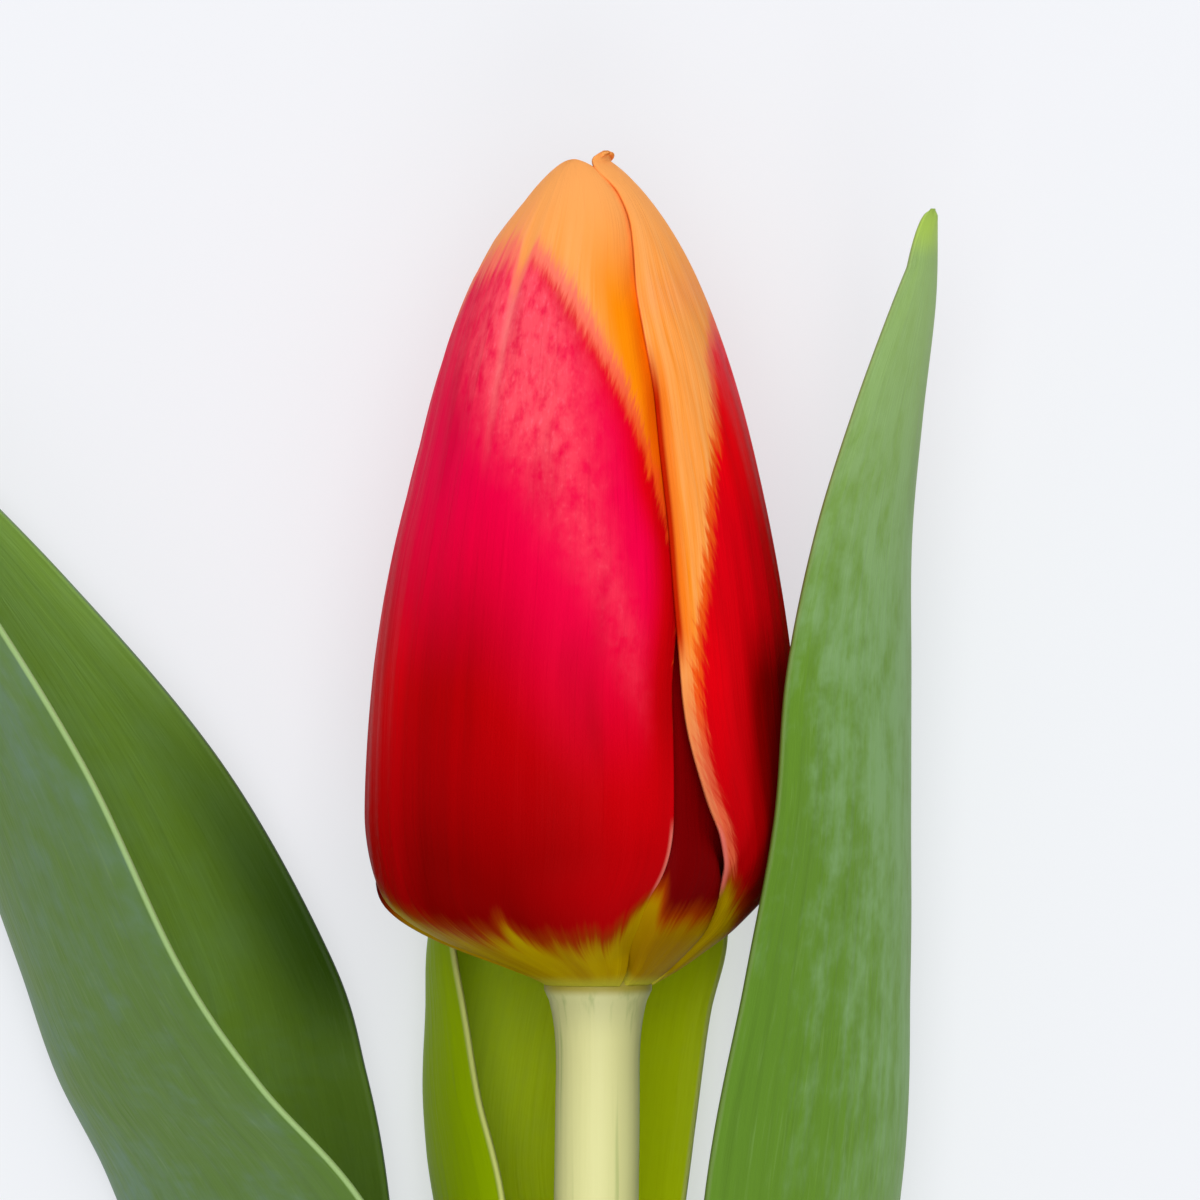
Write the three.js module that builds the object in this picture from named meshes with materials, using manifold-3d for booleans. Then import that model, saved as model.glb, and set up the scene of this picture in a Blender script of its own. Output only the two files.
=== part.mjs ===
// A cut tulip in bud, lying on a flat surface.
//
// Millimetres. +Z points up from the surface, +Y from the cut end of the stem to the tip of the bud.
// The flower is first laid out round its own base point, where the stem meets the bud, at x 0 and y 0,
// and the whole group is then moved so that its origin is the centre of its box on the surface.
// An angle round the bud or the stem is measured from +Z (up) towards +X.

import * as THREE from "three";
import { mergeVertices } from "three/addons/utils/BufferGeometryUtils.js";
import Module from "manifold-3d";

const wasm = await Module();
wasm.setup();

const { clamp, degToRad, lerp, radToDeg, smoothstep } = THREE.MathUtils;

// Driving dimensions
const BUD_LENGTH = 65; // from the receptacle to the highest tip
const BUD_RADIUS = 17.1; // at the belly
const BELLY_HEIGHT = 13.5; // of the widest place, above the receptacle
const CLAW_RADIUS = 5; // where the tepals leave the receptacle
const STEM_LENGTH = 265; // from the receptacle to the cut
const STEM_RADIUS_TOP = 3.25;
const STEM_RADIUS_CUT = 4;
const TEPAL_THICKNESS = 0.8;
const LEAF_THICKNESS = 0.8;
const EDGE_THICKNESS = 0.6; // tepals and leaves thin out to this at their edges
const GAP = 0.35; // left between neighbours that touch

// The lowest leaf lies between the bud and the surface
const BUD_AXIS_HEIGHT = LEAF_THICKNESS + GAP + BUD_RADIUS;
const STEM_OFFSET = 1.4; // the stem meets the bud this far to the right of its middle

const COLOURS = {
  tepal: 0xc8102e,
  leaf: 0x5f8f4a,
  stem: 0xcfd08a,
  pistil: 0xb9c46a,
  stamen: 0x3b2a3a,
};

// Faces

// A closed body between two faces. faces(u, v) gives the point of the upper and of the lower face, with
// u from -1 to 1 across and v from 0 to 1 along, where it ends in a point. Both faces are split into
// triangles alike.
function blade(faces, across, along) {
  const row = across + 1;
  const count = row * (along + 1);
  const uppers = [];
  const lowers = [];
  for (let j = 0; j <= along; j++) {
    for (let i = 0; i <= across; i++) {
      const u = j === along ? 0 : (2 * i) / across - 1;
      const [upper, lower] = faces(u, spread(j / along));
      uppers.push(...upper.toArray());
      lowers.push(...lower.toArray());
    }
  }
  const index = [];
  const quad = (a, b, c, d) => index.push(a, b, c, a, c, d);
  for (let j = 0; j < along; j++) {
    for (let i = 0; i < across; i++) {
      const a = j * row + i;
      quad(a, a + 1, a + row + 1, a + row);
      index.push(count + a, count + a + row + 1, count + a + 1);
      index.push(count + a, count + a + row, count + a + row + 1);
    }
  }
  for (let j = 0; j < along; j++) {
    const left = j * row;
    const right = left + across;
    quad(left, left + row, count + left + row, count + left);
    quad(right + row, right, count + right, count + right + row);
  }
  for (let i = 0; i < across; i++) {
    const end = along * row + i;
    quad(i + 1, i, count + i, count + i + 1);
    quad(end, end + 1, count + end + 1, count + end);
  }
  const geometry = new THREE.BufferGeometry();
  geometry.setAttribute("position", new THREE.Float32BufferAttribute([...uppers, ...lowers], 3));
  geometry.setIndex(index);
  return tidy(geometry);
}

// Rows lie closer together towards both ends, where the outline turns
function spread(v) {
  const ROUND = 0.55;
  return lerp(v, (1 - Math.cos(Math.PI * v)) / 2, ROUND);
}

// Merges shared vertices, drops the triangles that this closes up, and turns the faces outwards
function tidy(geometry) {
  geometry.deleteAttribute("normal");
  geometry.deleteAttribute("uv");
  const merged = mergeVertices(geometry, 1e-3);
  const kept = [];
  const index = merged.index.array;
  for (let i = 0; i < index.length; i += 3) {
    const [a, b, c] = index.slice(i, i + 3);
    if (a !== b && b !== c && c !== a) kept.push(a, b, c);
  }
  merged.setIndex(kept);
  if (signedVolume(merged) < 0) {
    for (let i = 0; i < kept.length; i += 3) {
      [kept[i + 1], kept[i + 2]] = [kept[i + 2], kept[i + 1]];
    }
    merged.setIndex(kept);
  }
  merged.computeVertexNormals();
  return merged;
}

function signedVolume(geometry) {
  const position = geometry.attributes.position;
  const index = geometry.index.array;
  const [a, b, c] = [new THREE.Vector3(), new THREE.Vector3(), new THREE.Vector3()];
  let sum = 0;
  for (let i = 0; i < index.length; i += 3) {
    a.fromBufferAttribute(position, index[i]);
    b.fromBufferAttribute(position, index[i + 1]);
    c.fromBufferAttribute(position, index[i + 2]);
    sum += a.dot(b.cross(c)) / 6;
  }
  return sum;
}

// The unit normal of surface(u, v), measured a little inside the edges, where it is always defined
function normalAt(surface, u, v) {
  const STEP = 1e-3;
  const INSIDE = 0.99;
  const uu = clamp(u, -INSIDE, INSIDE);
  const vv = clamp(v, 1 - INSIDE, INSIDE);
  const across = surface(uu + STEP, vv).sub(surface(uu - STEP, vv));
  const along = surface(uu, vv + STEP).sub(surface(uu, vv - STEP));
  return across.cross(along).normalize();
}

// The stem

// The middle of the stem at a distance y from the bud: it comes down from the bud to rest at the cut
function stemAxis(y) {
  const SWAY = 3.5;
  const p = clamp(1 + y / STEM_LENGTH, 0, 1);
  return new THREE.Vector3(
    STEM_OFFSET - SWAY * Math.sin(Math.PI * p) ** 2,
    y,
    lerp(STEM_RADIUS_CUT, BUD_AXIS_HEIGHT, p * p * (3 - 2 * p)),
  );
}

function stemRadius(y) {
  const SWELLING = 0.3; // at each joint of a leaf
  const SWELLING_LENGTH = 4;
  let radius = lerp(STEM_RADIUS_CUT, STEM_RADIUS_TOP, clamp(1 + y / STEM_LENGTH, 0, 1));
  for (const leaf of LEAVES) {
    radius += SWELLING * Math.exp(-(((y - leaf.joint) / SWELLING_LENGTH) ** 2));
  }
  return radius;
}

// The receptacle: the top of the stem flares under the outer tepals and carries both whorls on its side
const RECEPTACLE_RADIUS = CLAW_RADIUS - GAP;
const RECEPTACLE_TOP = 3.2;

function stemGeometry() {
  const SIDES = 16;
  const STEP = 9;
  const FLARE_LENGTH = 7;
  const FLARE_STEPS = 4;
  const profile = [new THREE.Vector2(0, -STEM_LENGTH)];
  for (let y = -STEM_LENGTH; y < -FLARE_LENGTH; y += STEP) {
    profile.push(new THREE.Vector2(stemRadius(y), y));
  }
  for (let i = 0; i < FLARE_STEPS; i++) {
    const p = i / FLARE_STEPS;
    const radius = lerp(STEM_RADIUS_TOP, CLAW_RADIUS, p ** 2.5);
    profile.push(new THREE.Vector2(radius, -FLARE_LENGTH * (1 - p)));
  }
  profile.push(
    new THREE.Vector2(CLAW_RADIUS, -GAP),
    new THREE.Vector2(RECEPTACLE_RADIUS, -GAP / 2),
    new THREE.Vector2(RECEPTACLE_RADIUS, RECEPTACLE_TOP),
    new THREE.Vector2(0, RECEPTACLE_TOP),
  );
  const geometry = new THREE.LatheGeometry(profile, SIDES);
  const position = geometry.attributes.position;
  for (let i = 0; i < position.count; i++) {
    const axis = stemAxis(position.getY(i));
    position.setX(i, position.getX(i) + axis.x);
    position.setZ(i, position.getZ(i) + axis.z);
  }
  return tidy(geometry);
}

// The bud

// The bud's outline: radius and height at q from 0, at the receptacle, to 1, at the point
const BELLY_SHARE = 0.3; // the share of q below the belly

function outline(q) {
  const POINTEDNESS = 1.8;
  const FULLNESS = 0.57;
  if (q < BELLY_SHARE) {
    const turn = (Math.PI / 2) * (q / BELLY_SHARE);
    return new THREE.Vector2(
      CLAW_RADIUS + (BUD_RADIUS - CLAW_RADIUS) * Math.sin(turn),
      BELLY_HEIGHT * (1 - Math.cos(turn)),
    );
  }
  const s = Math.min(1, (q - BELLY_SHARE) / (1 - BELLY_SHARE));
  return new THREE.Vector2(
    BUD_RADIUS * (1 - s ** POINTEDNESS) ** FULLNESS,
    lerp(BELLY_HEIGHT, BUD_LENGTH, s),
  );
}

function outlineNormal(q) {
  const STEP = 1e-3;
  const direction = outline(Math.min(q + STEP, 1)).sub(outline(Math.max(q - STEP, 0)));
  return new THREE.Vector2(direction.y, -direction.x).normalize();
}

// The bud sits off the stem's middle, and its lower right side is less full
function budMiddle(q) {
  const BASE_SHARE = 0.11;
  const HOLLOW = 0.8;
  const HOLLOW_AT = 0.17;
  const HOLLOW_WIDTH = 0.06;
  const base = STEM_OFFSET * (1 - smoothstep(q, 0, BASE_SHARE));
  return base - HOLLOW * Math.exp(-(((q - HOLLOW_AT) / HOLLOW_WIDTH) ** 2));
}

// Two whorls of three tepals. from and to are the seams on either side, in degrees round the bud;
// pull is how far each edge draws back from its seam at the claw, reach the share of the bud's upper
// part that the tepal climbs, and tip the share of the tepal below its rounded end.
const PULL_HEIGHT = 24; // the edges draw back below this height
const OUTER_INSET = 0;
const INNER_INSET = 2.05;
const TEPALS = [
  { name: "outer_tepal_front", from: -94, to: 28, pull: [14, 7], reach: 0.984, tip: 0.93 },
  { name: "outer_tepal_right", from: 28, to: 148, pull: [54, 18], reach: 0.998, tip: 0.9 },
  { name: "outer_tepal_left", from: 148, to: 266, pull: [16, 30], reach: 0.965, tip: 0.9 },
  { name: "inner_tepal_front", from: -32, to: 88, pull: [20, 16], reach: 0.93, tip: 0.88 },
  { name: "inner_tepal_back", from: 88, to: 208, pull: [18, 22], reach: 0.915, tip: 0.88 },
  { name: "inner_tepal_left", from: 208, to: 328, pull: [16, 20], reach: 0.922, tip: 0.88 },
];

function tepalSurface(tepal) {
  const EDGE_DIP = 0.8; // the edges curve in by this much
  const DIP_RADIUS = 8; // and by less where the bud is narrower than this
  const SEAM_CLEARANCE = 0.32; // from the edge to the middle of the seam
  const middle = (tepal.from + tepal.to) / 2;
  const inset = tepal.name.startsWith("inner") ? INNER_INSET : OUTER_INSET;
  return (u, v) => {
    const q = v * lerp(BELLY_SHARE, 1, tepal.reach);
    const { x: radius, y: height } = outline(q);
    const normal = outlineNormal(q);
    const side = u < 0 ? 0 : 1;
    const draw = Math.max(0, 1 - height / PULL_HEIGHT) ** 2 * tepal.pull[side];
    const clear = radToDeg(SEAM_CLEARANCE / (radius - inset * normal.x));
    const half = (tepal.to - tepal.from) / 2 - draw - clear;
    const tip = clamp((v - tepal.tip) / (1 - tepal.tip), 0, 1);
    const angle = degToRad(middle + u * half * Math.sqrt(1 - tip ** 3));
    const depth = inset + EDGE_DIP * u ** 4 * Math.min(1, radius / DIP_RADIUS);
    const r = radius - depth * normal.x;
    return new THREE.Vector3(
      budMiddle(q) + r * Math.sin(angle),
      height - depth * normal.y,
      BUD_AXIS_HEIGHT + r * Math.cos(angle),
    );
  };
}

// Thins a blade towards its edges and its point
function thicknessAt(full, u, v) {
  return lerp(full, EDGE_THICKNESS, Math.max(u ** 6, v ** 12));
}

function tepalGeometry(tepal) {
  const ACROSS = 10;
  const ALONG = 20;
  const surface = tepalSurface(tepal);
  return blade(
    (u, v) => {
      const outside = surface(u, v);
      const inwards = normalAt(surface, u, v).multiplyScalar(-thicknessAt(TEPAL_THICKNESS, u, v));
      return [outside, outside.clone().add(inwards)];
    },
    ACROSS,
    ALONG,
  );
}

// Leaves

// A leaf is a channel through three smooth rails: its near margin, its keel and its far margin, near
// and far as seen from above. Its sections lie across the flower at y, with x and z for each rail. At
// the joint it clasps the stem, with its keel at keelAngle round it, and by openBy it has opened out.
const WRAP = 150; // each side reaches this far round the stem, in degrees
const LEAVES = [
  {
    name: "leaf_left",
    joint: -190,
    keelAngle: 255,
    turn: 1,
    openBy: 0.3,
    sections: [
      { y: -190, near: [0, 13], keel: [-8, 5], far: [-1, 1] },
      { y: -158, near: [-4, 18], keel: [-10.5, 4.2], far: [-4.5, 0] },
      { y: -120, near: [-8, 22.5], keel: [-15, 4.5], far: [-7, 1.2] },
      { y: -80, near: [-7.2, 25], keel: [-19, 4], far: [-9.5, 2] },
      { y: -50, near: [-7.6, 27], keel: [-26, 3], far: [-12.5, 3.2] },
      { y: -28, near: [-10.2, 27.5], keel: [-32.6, 2], far: [-14.2, 4.2] },
      { y: -16, near: [-17, 27], keel: [-36.9, 1.6], far: [-15.3, 5] },
      { y: -7.5, near: [-24.6, 26], keel: [-40.9, 1.6], far: [-16.9, 5.4] },
      { y: 1.7, near: [-30.9, 25], keel: [-43.8, 1.8], far: [-19.7, 5.6] },
      { y: 17, near: [-38.3, 23], keel: [-49.3, 2.4], far: [-28.3, 5.4] },
      { y: 32, near: [-47.8, 18], keel: [-55, 3], far: [-41, 4.4] },
      { y: 47, near: [-58.4, 10], keel: [-61.6, 3], far: [-56, 3.4] },
      { y: 60, near: [-69, 5], keel: [-69, 5], far: [-69, 5] },
    ],
  },
  {
    name: "leaf_right",
    joint: -128,
    keelAngle: 100,
    turn: -1,
    openBy: 0.3,
    sections: [
      { y: -128, near: [1, 18], keel: [4.5, 10], far: [1, 4.5] },
      { y: -102, near: [3, 20.5], keel: [8.5, 9.5], far: [3.5, 2] },
      { y: -72, near: [5.6, 24], keel: [14.5, 9.5], far: [8, 0.2] },
      { y: -42, near: [7.6, 26], keel: [20.5, 10.5], far: [12, -0.8] },
      { y: -16, near: [9.7, 27], keel: [24.7, 12], far: [15, -1.2] },
      { y: 0.7, near: [12.6, 27.6], keel: [25.4, 12.8], far: [17, -0.8] },
      { y: 12.8, near: [14.6, 28.5], keel: [25.45, 13.6], far: [18.2, 0] },
      { y: 24, near: [15.4, 28.4], keel: [25.45, 14.6], far: [18.9, 1.6] },
      { y: 34.6, near: [17.9, 27.2], keel: [25.5, 15.6], far: [19.8, 4.4] },
      { y: 44, near: [21, 25.8], keel: [26.3, 16.8], far: [21.8, 8.6] },
      { y: 53.2, near: [24.4, 23.5], keel: [27.3, 18.2], far: [24.8, 13.6] },
      { y: 60.3, near: [27.4, 20], keel: [27.4, 20], far: [27.4, 20] },
    ],
  },
  {
    name: "leaf_back",
    joint: -74,
    keelAngle: 195,
    turn: 1,
    openBy: 0.4,
    sections: [
      { y: -74, near: [-6.5, 16], keel: [-4, 8], far: [5.8, 17] },
      { y: -56, near: [-7.4, 17.6], keel: [-6.4, 6.3], far: [7, 14] },
      { y: -40, near: [-7.2, 17], keel: [-8.6, 4.6], far: [7, 11] },
      { y: -27, near: [-6.3, 15.5], keel: [-9.7, 3], far: [7.8, 7.6] },
      { y: -16.5, near: [-6.2, 13], keel: [-10.4, 2], far: [8.5, 5] },
      { y: -9, near: [-7.9, 10.8], keel: [-10.4, 1.4], far: [9.4, 4] },
      { y: -2.6, near: [-9, 9], keel: [-9.6, 0.9], far: [10.3, 3.6] },
      { y: 3, near: [-10, 7], keel: [-8.6, 0.4], far: [11.6, 3.2] },
      { y: 10, near: [-10.8, 4], keel: [-6, -0.2], far: [11.4, 2.6] },
      { y: 20, near: [-9.4, 2], keel: [-3, -0.6], far: [9, 1.6] },
      { y: 31, near: [-5.2, 1], keel: [-1, -0.2], far: [5.4, 0.8] },
      { y: 42, near: [0.5, 0.8], keel: [0.5, 0.8], far: [0.5, 0.8] },
    ],
  },
];

const rail = (leaf, side) =>
  new THREE.CatmullRomCurve3(
    leaf.sections.map((section) => new THREE.Vector3(section[side][0], section.y, section[side][1])),
    false,
    "catmullrom",
    0.5,
  );

function leafSurface(leaf) {
  const rails = ["near", "keel", "far"].map((side) => rail(leaf, side));
  const clasp = LEAF_THICKNESS / 2 + 2 * GAP;
  return (u, v) => {
    const [near, keel, far] = rails.map((r) => r.getPoint(v));
    const slope = near.clone().sub(far).multiplyScalar(u / 2);
    const bow = near.clone().add(far).multiplyScalar(0.5).sub(keel).multiplyScalar(u * u);
    const open = keel.clone().add(slope).add(bow);
    const angle = degToRad(leaf.keelAngle + leaf.turn * u * WRAP);
    const radius = stemRadius(keel.y) + clasp;
    const ring = new THREE.Vector3(radius * Math.sin(angle), 0, radius * Math.cos(angle));
    return ring.add(stemAxis(keel.y)).lerp(open, smoothstep(v, 0, leaf.openBy));
  };
}

function leafGeometry(leaf) {
  const ACROSS = 10;
  const ALONG = 36;
  const surface = leafSurface(leaf);
  return blade(
    (u, v) => {
      const middle = surface(u, v);
      const half = thicknessAt(LEAF_THICKNESS, u, v) / 2;
      const outwards = normalAt(surface, u, v).multiplyScalar(leaf.turn * half);
      const outer = middle.clone().add(outwards);
      const inner = middle.clone().sub(outwards);
      // The surface below presses the leaf flat
      outer.z = Math.max(outer.z, 0);
      inner.z = Math.max(inner.z, 2 * half);
      return [inner, outer];
    },
    ACROSS,
    ALONG,
  );
}

// Inside the bud

// Raises a turned profile of [radius, height] points from the receptacle and shapes its section
function turned(profile, sides, sectionAt) {
  const geometry = new THREE.LatheGeometry(
    profile.map(([r, y]) => new THREE.Vector2(r, y)),
    sides,
  );
  const position = geometry.attributes.position;
  for (let i = 0; i < position.count; i++) {
    const [x, y, z] = [position.getX(i), position.getY(i), position.getZ(i)];
    const share = sectionAt(Math.atan2(x, z), y);
    position.setXYZ(i, x * share, y, z * share);
  }
  return tidy(geometry);
}

const SEAT = RECEPTACLE_TOP + GAP; // the stamens and the pistil stand here
const LOBES = 3;

function pistilGeometry() {
  const SIDES = 24;
  const OVARY_TOP = SEAT + 17;
  const STIGMA_TOP = OVARY_TOP + 4.6;
  const profile = [
    [0, SEAT],
    [1.7, SEAT],
    [2.1, SEAT + 2],
    [2.9, SEAT + 7],
    [2.9, SEAT + 11],
    [2.1, OVARY_TOP - 1.6],
    [1.9, OVARY_TOP],
    [3.2, OVARY_TOP + 1.4],
    [4, OVARY_TOP + 3],
    [3.6, STIGMA_TOP - 0.6],
    [0, STIGMA_TOP - 1.2],
  ];
  return turned(profile, SIDES, (angle, y) => {
    const depth = y > OVARY_TOP ? 0.3 : 0.14;
    return 1 + depth * Math.cos(LOBES * angle);
  });
}

const solid = (geometry) =>
  new wasm.Manifold(
    new wasm.Mesh({
      numProp: 3,
      vertProperties: geometry.attributes.position.array,
      triVerts: new Uint32Array(geometry.index.array),
    }),
  );

function geometryOf(made) {
  const { numProp, numVert, vertProperties, triVerts } = made.getMesh();
  const positions = new Float32Array(numVert * 3);
  for (let i = 0; i < numVert; i++) {
    positions.set(vertProperties.subarray(i * numProp, i * numProp + 3), i * 3);
  }
  const geometry = new THREE.BufferGeometry();
  geometry.setAttribute("position", new THREE.BufferAttribute(positions, 3));
  geometry.setIndex(new THREE.BufferAttribute(triVerts, 1));
  geometry.computeVertexNormals();
  return geometry;
}

// Six stamens on one low ring round the pistil's foot: flat filaments that taper up to long anthers
function stamensGeometry() {
  const COUNT = 6;
  const RING = { inner: 2.75, outer: 4.1, height: 0.8 };
  const STAND = (RING.inner + RING.outer) / 2;
  const FILAMENT = { length: 9, foot: 0.95, head: 0.45, flatness: 0.62 };
  const ANTHER = { length: 12, radius: 1.35, sunk: 1.6 };
  const GROOVE = 0.22; // an anther is flatter from front to back by this share
  const LEAN = degToRad(11);
  const round = () => 1;
  const ring = turned(
    [
      [RING.inner, 0],
      [RING.outer, 0],
      [RING.outer, RING.height],
      [RING.inner, RING.height],
      [RING.inner, 0],
    ],
    24,
    round,
  );
  const filament = turned(
    [[0, 0.1], [FILAMENT.foot, 0.1], [FILAMENT.head, FILAMENT.length], [0, FILAMENT.length]],
    8,
    round,
  ).scale(1, 1, FILAMENT.flatness);
  const foot = FILAMENT.length - ANTHER.sunk;
  const anther = turned(
    [0, 0.12, 0.3, 0.55, 0.8, 0.94, 1].map((p) => [
      ANTHER.radius * Math.sqrt(Math.max(0, 1 - (2 * p - 1) ** 4)),
      foot + ANTHER.length * p,
    ]),
    10,
    (angle) => 1 - GROOVE * Math.cos(2 * angle),
  );
  let whorl = solid(ring);
  for (let i = 0; i < COUNT; i++) {
    const place = new THREE.Matrix4()
      .makeRotationY((2 * Math.PI * i) / COUNT)
      .multiply(new THREE.Matrix4().makeTranslation(0, 0, STAND))
      .multiply(new THREE.Matrix4().makeRotationX(LEAN));
    for (const piece of [filament, anther]) {
      whorl = whorl.add(solid(piece.clone().applyMatrix4(place)));
    }
  }
  return geometryOf(whorl);
}

// The whole flower

function mesh(name, geometry, color, roughness) {
  const made = new THREE.Mesh(
    geometry,
    new THREE.MeshStandardMaterial({ color, roughness, metalness: 0, side: THREE.DoubleSide }),
  );
  made.name = name;
  return made;
}

const flower = new THREE.Group();
flower.add(mesh("stem", stemGeometry(), COLOURS.stem, 0.5));
for (const tepal of TEPALS) {
  flower.add(mesh(tepal.name, tepalGeometry(tepal), COLOURS.tepal, 0.4));
}
for (const leaf of LEAVES) {
  flower.add(mesh(leaf.name, leafGeometry(leaf), COLOURS.leaf, 0.45));
}
const heart = new THREE.Group();
heart.position.set(STEM_OFFSET, 0, BUD_AXIS_HEIGHT);
heart.add(mesh("pistil", pistilGeometry(), COLOURS.pistil, 0.5));
const stamens = mesh("stamens", stamensGeometry(), COLOURS.stamen, 0.7);
stamens.position.y = SEAT;
heart.add(stamens);
flower.add(heart);

// The origin is the centre of the box, on the surface
const box = new THREE.Box3().setFromObject(flower, true);
const centre = box.getCenter(new THREE.Vector3());
flower.position.set(-centre.x, -centre.y, -box.min.z);

const tulip = new THREE.Group();
tulip.add(flower);

export default tulip;
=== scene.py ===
"""A cut tulip in bud with three leaves, dressed round its measured frame."""

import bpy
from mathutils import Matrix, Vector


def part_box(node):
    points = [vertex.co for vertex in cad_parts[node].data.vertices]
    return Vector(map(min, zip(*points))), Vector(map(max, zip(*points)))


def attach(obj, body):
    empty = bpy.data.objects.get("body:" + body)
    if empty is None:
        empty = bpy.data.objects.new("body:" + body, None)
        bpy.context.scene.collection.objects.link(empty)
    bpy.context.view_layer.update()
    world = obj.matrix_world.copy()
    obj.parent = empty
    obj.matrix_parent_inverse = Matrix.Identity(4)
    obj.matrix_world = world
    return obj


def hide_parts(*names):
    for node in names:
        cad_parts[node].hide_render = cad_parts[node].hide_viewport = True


bl_info = {
    "name": "Cut Tulip",
    "version": (1, 0, 0),
    "blender": (4, 5, 0),
    "location": "3D View > Sidebar > Tulip",
    "description": "Makes a cut tulip in bud, its leaves and its stem round their frame",
    "category": "Add Mesh",
}

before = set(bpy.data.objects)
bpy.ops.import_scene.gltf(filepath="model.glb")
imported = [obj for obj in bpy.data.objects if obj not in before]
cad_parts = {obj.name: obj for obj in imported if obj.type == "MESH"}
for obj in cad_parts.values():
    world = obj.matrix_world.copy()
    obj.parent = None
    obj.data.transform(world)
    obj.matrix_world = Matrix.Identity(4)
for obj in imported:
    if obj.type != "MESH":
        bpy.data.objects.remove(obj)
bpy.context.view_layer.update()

import math
from functools import partial
from types import SimpleNamespace

import bpy
import numpy as np
from bpy.props import FloatProperty, FloatVectorProperty, PointerProperty
from mathutils import Vector

MM = 0.001

# The flower is laid out in millimetres round its own base point, where the stem meets the bud, at
# x 0 and y 0. +Y points to the tip of the bud and +Z up. An angle round the bud or the stem is
# measured from +Z towards +X. These sizes are the frame's own, but for LAPPING_CLEARANCE, and for
# CLAW_RADIUS, FLARE_RADIUS and BASE_LIFT, which make the base of the bud slimmer and more conical.
BUD_LENGTH = 65
BUD_RADIUS = 17.1
BELLY_HEIGHT = 13.5
BELLY_SHARE = 0.3
CLAW_RADIUS = 4.3
POINTEDNESS = 1.8
FULLNESS = 0.57
STEM_LENGTH = 265
STEM_RADIUS_TOP = 3.25
STEM_RADIUS_CUT = 4
BLADE_THICKNESS = 0.8
GAP = 0.35
BUD_AXIS_HEIGHT = BLADE_THICKNESS + GAP + BUD_RADIUS
STEM_OFFSET = 1.4
FLARE_RADIUS = 4.2
BASE_LIFT = 1.4
RECEPTACLE_TOP = 3.2
SEAT = RECEPTACLE_TOP + GAP
PULL_HEIGHT = 24
INNER_INSET = 2.05
SEAM_CLEARANCE = 0.32
LAPPING_CLEARANCE = 0.06  # of an outer tepal's left margin, where it laps its neighbour
FRONT_SEAM = 28  # the seam between the front tepal and the right one, in degrees
LEAF_WRAP = 150

# start, to: the seams on either side, in degrees round the bud. pull: how far each edge draws back from
# its seam at the claw. reach, tip: how far up the bud the tepal climbs, and where its end starts to
# round. blunt: the radius of the bud where it ends. lean, curl: how far its end and its very point turn
# round the bud. end: the height at which the red ends, in the middle. wash: how much of the magenta wash
# it has. bands: the width of the orange margin on either side at each of BAND_HEIGHTS. The inner tepals
# are alike but for their places and reaches.
BAND_HEIGHTS = (0, 7, 18, 26, 33, 38, 44, 49, 55, 60)
NARROW_BAND = (0.3, 0.4, 0.4, 0.4, 0.5, 0.7, 1, 1.6, 2.4, 4)
TUCKED_BAND = (-1.2, -1.2, -1.2, -0.8, -0.3, 0.9, 2.6, 4.4, 6.8, 8.3)
TEPALS = (
    SimpleNamespace(
        name="outer_tepal_front", start=-94, to=FRONT_SEAM, pull=(14, 1), reach=0.984,
        tip=0.983, end=56.8, blunt=2.2, lean=0, curl=20, wash=1,
        bands=(NARROW_BAND, TUCKED_BAND),
    ),
    SimpleNamespace(
        name="outer_tepal_right", start=FRONT_SEAM, to=148, pull=(46, 18), reach=0.998,
        tip=0.98, end=51.5, blunt=2.4, lean=-10, curl=-14, wash=0.05,
        bands=((0.2, 0.3, 0.75, 1.5, 3.2, 4.1, 5.6, 6.5, 10.5, 17), TUCKED_BAND),
    ),
    SimpleNamespace(
        name="outer_tepal_left", start=148, to=266, pull=(16, 30), reach=0.975,
        tip=0.97, end=54, blunt=2.3, lean=0, curl=0, wash=0.6,
        bands=(NARROW_BAND, TUCKED_BAND),
    ),
    *(
        SimpleNamespace(
            name=f"inner_tepal_{side}", start=start, to=start + 120, pull=(4, 4),
            reach=reach, tip=0.95, end=46, wash=0, bands=(NARROW_BAND, NARROW_BAND),
        )
        for side, start, reach in (("front", -32, 0.994), ("back", 88, 0.986), ("left", 208, 0.99))
    ),
)
END_POWER = 3  # of the curve that rounds the end of a tepal
OVERLAP = 1.2  # how far an outer tepal's right margin runs on under its neighbour's left one
SEAM_BOW = 12  # how far the seam in front bows to the right below the tip, in degrees
BOW_HEIGHT = 61.3  # and where it bows most
# The painted sheen: how strong it is at each of SHEEN_HEIGHTS, and how wide at the heights in SHEEN_WIDTHS
SHEEN_HEIGHTS = (17, 24, 28, 31, 34.5, 37.6, 40.7, 43.8, 46.8)
SHEEN_PEAKS = (0, 0.13, 0.2, 0.24, 0.34, 0.38, 0.55, 0.9, 1)
SHEEN_WIDTHS = ((22, 28, 37, 45), (0.08, 0.1, 0.2, 0.38))
# The grain of every tepal is laid out as if it were this large, to each side of its middle and along it
GRAIN_WIDTH = 17
GRAIN_LENGTH = 70
# Painted light: places where the red is less deep, by how much, and the stretch of u and of the height that
# each comes in over
SHADES = {
    "outer_tepal_front": (
        (-0.15, (0.2, 0.5), (11, 7)), (-0.3, (0.4, 0.85), (28, 14)), (-0.3, (-0.2, -0.5), (32, 26)),
    ),
    "outer_tepal_right": ((-0.25, (-0.68, -0.76), (30, 24)),),
}
# The left side of the bud is a little flatter than its right one: by how much, at these heights
FLAT_HEIGHTS = (0, 14, 20, 25, 30, 34, 38, 42, 46, 50, 55, 58, 61, 65)
FLAT_DEPTHS = (0.1, 0.1, 0.15, 0.2, 0.35, 0.5, 0.75, 0.85, 0.7, 0.55, 0.45, 0.6, 1.05, 1.1)
LAPPING_DIP = 0.35  # how far the left margin of an outer tepal curves in
TUCKED_DIP = 1  # and its right one
INNER_DIP = 0.8
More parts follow.
